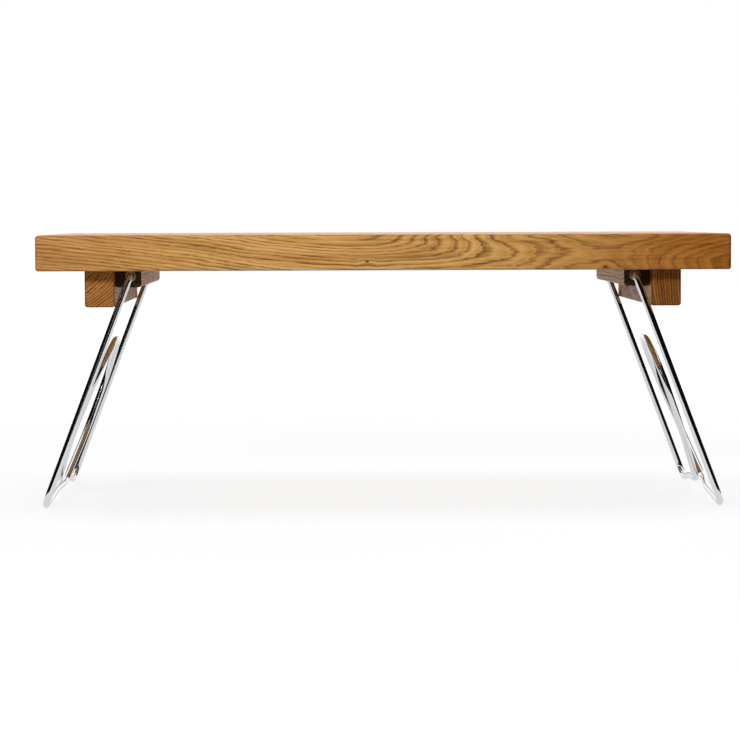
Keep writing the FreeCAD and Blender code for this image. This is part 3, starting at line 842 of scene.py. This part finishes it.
class BEDTRAY_PG_wire(bpy.types.PropertyGroup):
    rod_diameter: length_property("Rod", "Diameter of the leg wire", 6.0)
    upright_reach: length_property("Uprights", "Middle of the leg to each upright", 144.0)
    pin_length: length_property("Pins", "Straight wire end inside the pivot, with its play", 14.5)
    top_bend: length_property("Top bend", "Bend at the top of each upright", 5.5)
    foot_bend: length_property("Foot bend", "Bend at each foot", 14.0)
    foot_rise: angle_property("Foot bar slope", "Slope of the foot bar towards the middle", 6.5)
    knee_reach: length_property("Knee", "Middle of the leg to the bend in the foot bar", 60.0)
    bar_bend: length_property("Bar bends", "Gentle bends in the foot bar", 50.0)
    joggle_reach: length_property("Step", "Middle of the leg to the end of the sideways step", 16.0)
    crossing_rise: length_property("Crossing height", "Crossing above the foot line", 10.8)
    crossing_reach: length_property("Crossing", "Middle of the leg to the crossing bend", 1.5)
    crossing_bend: length_property("Crossing bend", "Bend from foot bar to strand", 18.0)
    crossing_gap: length_property("Crossing gap", "Gap between the crossing strands", 0.6)
    inner_step: length_property("Inner step", "Sideways place of the inner strand", -1.4)
    strand_rise: length_property("Strand height", "Bend in the strand above the foot line", 60.0)
    strand_reach: length_property("Strand", "Middle of the leg to the bend in the strand", 42.0)
    strand_bend: length_property("Strand bend", "Bend in the hoop strand", 80.0)
    hoop_rise: length_property("Hoop height", "Top of the hoop above the foot line", 150.0)
    hoop_reach: length_property("Hoop", "Middle of the leg to the corner of the hoop", 59.5)
    hoop_bend: length_property("Hoop bend", "Round of the hoop", 45.0)
    nose_radius: length_property("Nose", "Rounding of the corner that the leg leans on", 2.0)
    stop_clearance: length_property("Stop gap", "Gap between open leg and stop batten", 0.3)


class BEDTRAY_PG_stage(bpy.types.PropertyGroup):
    floor: colour_property("Floor", "Colour of the floor", (226, 226, 226))
    key_power: bpy.props.FloatProperty(
        name="Front light",
        description="Power of the low soft lamp in front; the others are shares of it",
        subtype="POWER",
        min=0.0,
        default=46.5,
    )
    fill: share_property("Room light", "Strength of the even light from all round", 0.06)
    camera_distance: length_property("Camera distance", "Front edge of the top to camera", 2541.0)
    camera_side: length_property("Camera offset", "Camera to the right of the top's middle", -42.3)
    camera_height: length_property("Camera height", "Camera above the floor", 254.8)
    camera_roll: angle_property("Camera roll", "Tilt of the picture about the line of sight", -0.18)


class BEDTRAY_PG_settings(bpy.types.PropertyGroup):
    wood: bpy.props.PointerProperty(type=BEDTRAY_PG_wood)
    metal: bpy.props.PointerProperty(type=BEDTRAY_PG_metal)
    wire: bpy.props.PointerProperty(type=BEDTRAY_PG_wire)
    stage: bpy.props.PointerProperty(type=BEDTRAY_PG_stage)


# ---------------------------------------------------------------- operators


class BEDTRAY_OT_top(bpy.types.Operator):
    """Finish the staves of the top in oiled oak, each cut from its own log"""

    bl_idname = "bedtray.top"
    bl_label = "Oak top"

    def execute(self, context):
        wood = context.scene.bed_tray.wood
        front, *others = STAVES
        finish_node(front, make_oak(front, wood, FrontLog(wood.ring_width), "X", 1, KNOTS))
        for number, (name, log) in enumerate(zip(others, STAVE_LOGS), start=2):
            finish_node(name, make_oak(name, wood, log, "X", number))
        return {"FINISHED"}


class BEDTRAY_OT_battens(bpy.types.Operator):
    """Finish the battens in oiled oak with the grain running front to back"""

    bl_idname = "bedtray.battens"
    bl_label = "Oak battens"

    def execute(self, context):
        wood = context.scene.bed_tray.wood
        for number, (name, log) in enumerate(BATTEN_LOGS.items(), start=FIRST_BATTEN_NUMBER):
            finish_node(name, make_oak(name, wood, log, "Y", number))
        return {"FINISHED"}


class BEDTRAY_OT_legs(bpy.types.Operator):
    """Bend the two wire legs, smooth all along, and plate them in bright chrome"""

    bl_idname = "bedtray.legs"
    bl_label = "Chromed legs"

    def execute(self, context):
        settings = context.scene.bed_tray
        chrome = make_chrome("chrome_wire", settings.metal)
        pivots = {joint["child"]: Vector(joint["pos_m"]) for joint in frame["joints"]}
        for side in SIDES:
            name = f"{side}_bent_wire"
            pivot = pivots[f"{side}_leg"]
            mesh = make_leg_mesh(name, settings.wire, pivot, side == "left")
            mesh.materials.append(chrome)
            leg = bpy.data.objects.new(name, mesh)
            context.collection.objects.link(leg)
            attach(leg, f"{side}_leg")
            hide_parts(f"{side}_leg_wire")
        return {"FINISHED"}


class BEDTRAY_OT_pivots(bpy.types.Operator):
    """Finish the flanged sleeves at the pivots in turned, plated steel"""

    bl_idname = "bedtray.pivots"
    bl_label = "Pivot ferrules"

    def execute(self, context):
        steel = make_turned_steel("turned_steel", context.scene.bed_tray.metal)
        for side in SIDES:
            for end in ("front", "rear"):
                finish_node(f"{side}_{end}_ferrule", steel)
        return {"FINISHED"}


class BEDTRAY_OT_screws(bpy.types.Operator):
    """Finish the batten screws in zinc"""

    bl_idname = "bedtray.screws"
    bl_label = "Batten screws"

    def execute(self, context):
        zinc = make_zinc("zinc_screws", context.scene.bed_tray.metal)
        for side in SIDES:
            for kind in ("stop", "axle"):
                finish_node(f"{side}_{kind}_batten_screws", zinc)
        return {"FINISHED"}


# ---------------------------------------------------------------- stage

FLOOR_REACH = 8.0

# The floor's own white: its strength, how much dimmer metal sees it, the share of it in
# what is seen by the table, and where round the table it takes over fully
FLOOR_GLOW = 1.10
GLOSS_DIMMING = 0.25
GLOW_SHARE = 0.75
GLOW_FADE = (0.5, 2.2)

# Each lamp's place, size, share of the front lamp's power, and whether metal shows it
LAMPS = {
    "front_light": ((-1.2, -2.2, 0.92), (1.4, 0.20), 1.0, True),
    "top_light": ((0.0, 0.1, 2.4), (2.0, 1.6), 0.70, False),
    "back_light": ((1.7, 2.0, 1.1), (1.8, 0.8), 0.70, False),
}
# They all point at the middle of the table, this share of its height above the floor
AIM_SHARE = 0.8

# Black cards stand in front and at the sides, and low ones close the middle but for a
# slit, which gives the chrome a fine bright line
CARD_BLACK = (0.004, 0.004, 0.004, 1.0)
CARD_GAP = 0.33
CARD_FRONT = CAD_BOX[0][1] - CARD_GAP
CARD_BACK = 2.6
CARD_SIDE = 1.9
CARD_HEIGHT = 1.8
LOW_CARD_SIDE = 0.5
LOW_CARD_HEIGHT = 0.60
SLIT = (-0.301, -0.283)
CARD_HIDDEN_FROM = ("camera", "diffuse", "transmission", "shadow", "volume_scatter")


def add_sheet(name, corners, material):
    """Flat four-cornered sheet that belongs to the stage."""
    mesh = bpy.data.meshes.new(name)
    mesh.from_pydata(corners, [], [(0, 1, 2, 3)])
    mesh.materials.append(material)
    sheet = bpy.data.objects.new(name, mesh)
    bpy.context.collection.objects.link(sheet)
    return sheet


def seen_directly(tree):
    """Two masks: seen by the eye, straight, mirrored or through glass; and seen mirrored."""
    rays = ("Is Camera Ray", "Is Glossy Ray", "Is Transmission Ray")
    straight, mirrored, through = tree.node("ShaderNodeLightPath", output=rays)
    return straight.at_least(mirrored).at_least(through), mirrored


def make_floor_material(stage):
    """Matt white floor that keeps the object's shadow and fades into plain white."""
    material, tree = new_material("studio_floor")
    paint = tree.node("ShaderNodeBsdfDiffuse", None, {"Color": stage.floor})
    seen, mirrored = seen_directly(tree)
    strength = FLOOR_GLOW - mirrored * GLOSS_DIMMING
    glow = tree.node("ShaderNodeEmission", None, {"Color": WHITE, "Strength": strength})
    across, back, _ = tree.place()
    distance = (across * across + back * back).root()
    share = seen * distance.ramp(*GLOW_FADE, GLOW_SHARE, 1.0)
    tree.surface(tree.node("ShaderNodeMixShader", None, {0: share, 1: paint, 2: glow}))
    return material


def add_floor(stage):
    turns = ((-1, -1), (1, -1), (1, 1), (-1, 1))
    corners = [(across * FLOOR_REACH, back * FLOOR_REACH, 0.0) for across, back in turns]
    add_sheet("floor", corners, make_floor_material(stage))


def make_card_material():
    """Black studio card that only shows in the chrome."""
    material, tree = new_material("black_card")
    tree.surface(tree.node("ShaderNodeEmission", None, {"Color": CARD_BLACK}))
    return material


def add_cards():
    """Upright cards seen by glossy rays only, so they light and shade nothing."""
    black = make_card_material()
    for name, start, end, high in (
        ("left_card", (-CARD_SIDE, CARD_BACK), (-CARD_SIDE, CARD_FRONT), CARD_HEIGHT),
        ("front_left_card", (-CARD_SIDE, CARD_FRONT), (-LOW_CARD_SIDE, CARD_FRONT), CARD_HEIGHT),
        ("left_low_card", (-LOW_CARD_SIDE, CARD_FRONT), (SLIT[0], CARD_FRONT), LOW_CARD_HEIGHT),
        ("right_low_card", (SLIT[1], CARD_FRONT), (LOW_CARD_SIDE, CARD_FRONT), LOW_CARD_HEIGHT),
        ("front_right_card", (LOW_CARD_SIDE, CARD_FRONT), (CARD_SIDE, CARD_FRONT), CARD_HEIGHT),
        ("right_card", (CARD_SIDE, CARD_FRONT), (CARD_SIDE, CARD_BACK), CARD_HEIGHT),
    ):
        corners = [(*start, 0.0), (*end, 0.0), (*end, high), (*start, high)]
        card = add_sheet(name, corners, black)
        for ray in CARD_HIDDEN_FROM:
            setattr(card, f"visible_{ray}", False)


def add_world(stage):
    """White surroundings for the eye and the chrome, softer light for the wood."""
    world = bpy.data.worlds.new("studio")
    bpy.context.scene.world = world
    tree = ShaderTree(world)
    seen, _ = seen_directly(tree)
    strength = seen * (1.0 - stage.fill) + stage.fill
    glow = tree.node("ShaderNodeBackground", None, {"Color": WHITE, "Strength": strength})
    tree.node("ShaderNodeOutputWorld", None, {"Surface": glow})


def add_lamps(stage):
    """Oblong soft lamps, all pointing at the table just under its top."""
    target = Vector((0.0, 0.0, CAD_BOX[1][2] * AIM_SHARE))
    for name, (place, size, share, shown) in LAMPS.items():
        lamp = bpy.data.lights.new(name, "AREA")
        lamp.shape = "RECTANGLE"
        lamp.size, lamp.size_y = size
        lamp.energy = stage.key_power * share
        light = bpy.data.objects.new(name, lamp)
        bpy.context.collection.objects.link(light)
        light.location = place
        aim = target - Vector(place)
        light.rotation_euler = aim.to_track_quat("-Z", "Y").to_euler()
        light.visible_glossy = shown


class BEDTRAY_OT_stage(bpy.types.Operator):
    """Set up the pale floor, the soft studio light and the camera"""

    bl_idname = "bedtray.stage"
    bl_label = "Studio stage"

    def execute(self, context):
        stage = context.scene.bed_tray.stage
        add_floor(stage)
        add_world(stage)
        add_lamps(stage)
        add_cards()
        self.add_camera(context, stage)
        return {"FINISHED"}

    @staticmethod
    def add_camera(context, stage):
        """Camera of the photograph, turned so that the depth lines meet where they do."""
        data = bpy.data.cameras.new("camera")
        data.sensor_width = SENSOR_MM
        data.lens = FOCAL_PIXELS * SENSOR_MM / PHOTO_SIDE
        camera = bpy.data.objects.new("camera", data)
        context.collection.objects.link(camera)
        front = CAD_BOX[0][1]
        camera.location = (stage.camera_side, front - stage.camera_distance, stage.camera_height)
        middle = PHOTO_SIDE / 2
        turn_right = math.atan((middle - VANISHING_X) / FOCAL_PIXELS)
        turn_down = math.atan((middle - VANISHING_Y) / FOCAL_PIXELS)
        aim = Euler((math.pi / 2 - turn_down, 0.0, -turn_right)).to_matrix()
        roll = Matrix.Rotation(stage.camera_roll, 3, "Z")
        camera.rotation_euler = (aim @ roll).to_euler()
        context.scene.camera = camera


# ---------------------------------------------------------------- panel and run


class BEDTRAY_PT_panel(bpy.types.Panel):
    """Bed tray settings and the steps that build it"""

    bl_idname = "BEDTRAY_PT_panel"
    bl_label = "Bed tray"
    bl_space_type = "VIEW_3D"
    bl_region_type = "UI"
    bl_category = "Bed tray"

    def draw(self, context):
        settings = context.scene.bed_tray
        for group in (settings.wood, settings.metal, settings.wire, settings.stage):
            box = self.layout.box()
            for key in group.__annotations__:
                box.prop(group, key)
        for operator in OPERATORS:
            self.layout.operator(operator.bl_idname)


OPERATORS = (
    BEDTRAY_OT_top,
    BEDTRAY_OT_battens,
    BEDTRAY_OT_legs,
    BEDTRAY_OT_pivots,
    BEDTRAY_OT_screws,
    BEDTRAY_OT_stage,
)
CLASSES = (
    BEDTRAY_PG_wood,
    BEDTRAY_PG_metal,
    BEDTRAY_PG_wire,
    BEDTRAY_PG_stage,
    BEDTRAY_PG_settings,
    *OPERATORS,
    BEDTRAY_PT_panel,
)


def register():
    for item in CLASSES:
        bpy.utils.register_class(item)
    bpy.types.Scene.bed_tray = bpy.props.PointerProperty(type=BEDTRAY_PG_settings)


def unregister():
    del bpy.types.Scene.bed_tray
    for item in reversed(CLASSES):
        bpy.utils.unregister_class(item)


def main():
    register()
    bpy.context.scene.view_settings.view_transform = "Standard"
    bpy.ops.bedtray.top()
    bpy.ops.bedtray.battens()
    bpy.ops.bedtray.legs()
    bpy.ops.bedtray.pivots()
    bpy.ops.bedtray.screws()
    bpy.ops.bedtray.stage()


if __name__ == "__main__":
    main()
